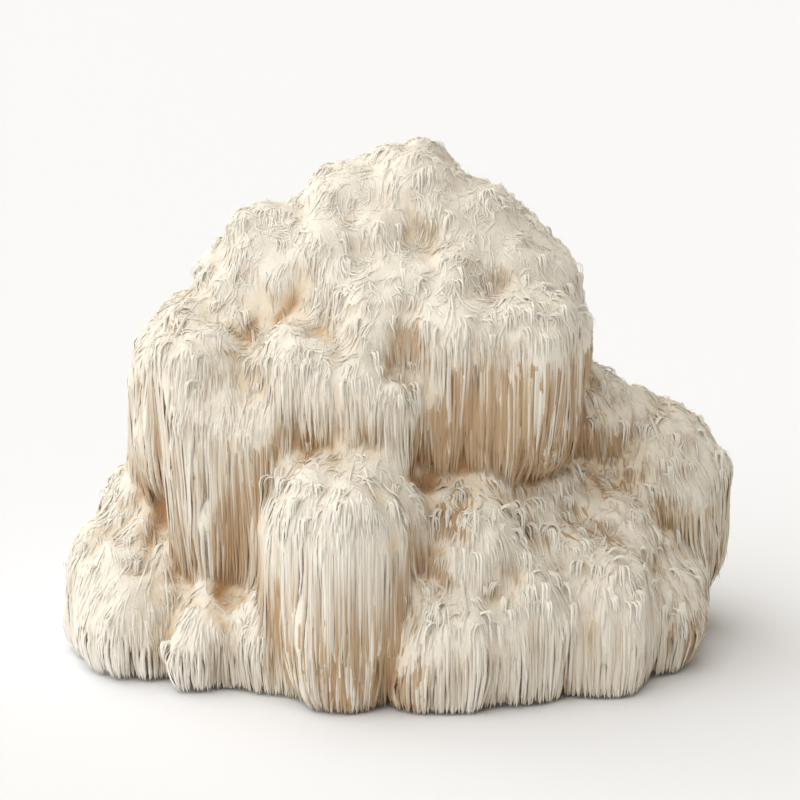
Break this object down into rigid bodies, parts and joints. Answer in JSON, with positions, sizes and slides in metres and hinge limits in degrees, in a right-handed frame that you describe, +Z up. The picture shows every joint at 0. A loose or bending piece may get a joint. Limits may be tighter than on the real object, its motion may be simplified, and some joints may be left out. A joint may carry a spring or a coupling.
{
  "type": "lion's mane mushroom",
  "caption": "Rounded, many-lobed mushroom fruit body covered in soft hanging spines, standing on its flat cut base.",
  "frame": {"origin": "on the resting surface, under the middle of the fruit body's box", "axes": "+Z up, -Y is the front with the low curtain lobes, +X is towards the overhanging side; X is the widest way and Y the narrowest"},
  "size_m": [0.2002, 0.1323, 0.1499],
  "materials": {
    "spines": "soft matte cream, faintly translucent, like moist fibres"
  },
  "bodies": {
    "root": {"fruit_body": "spines"}
  },
  "joints": []
}
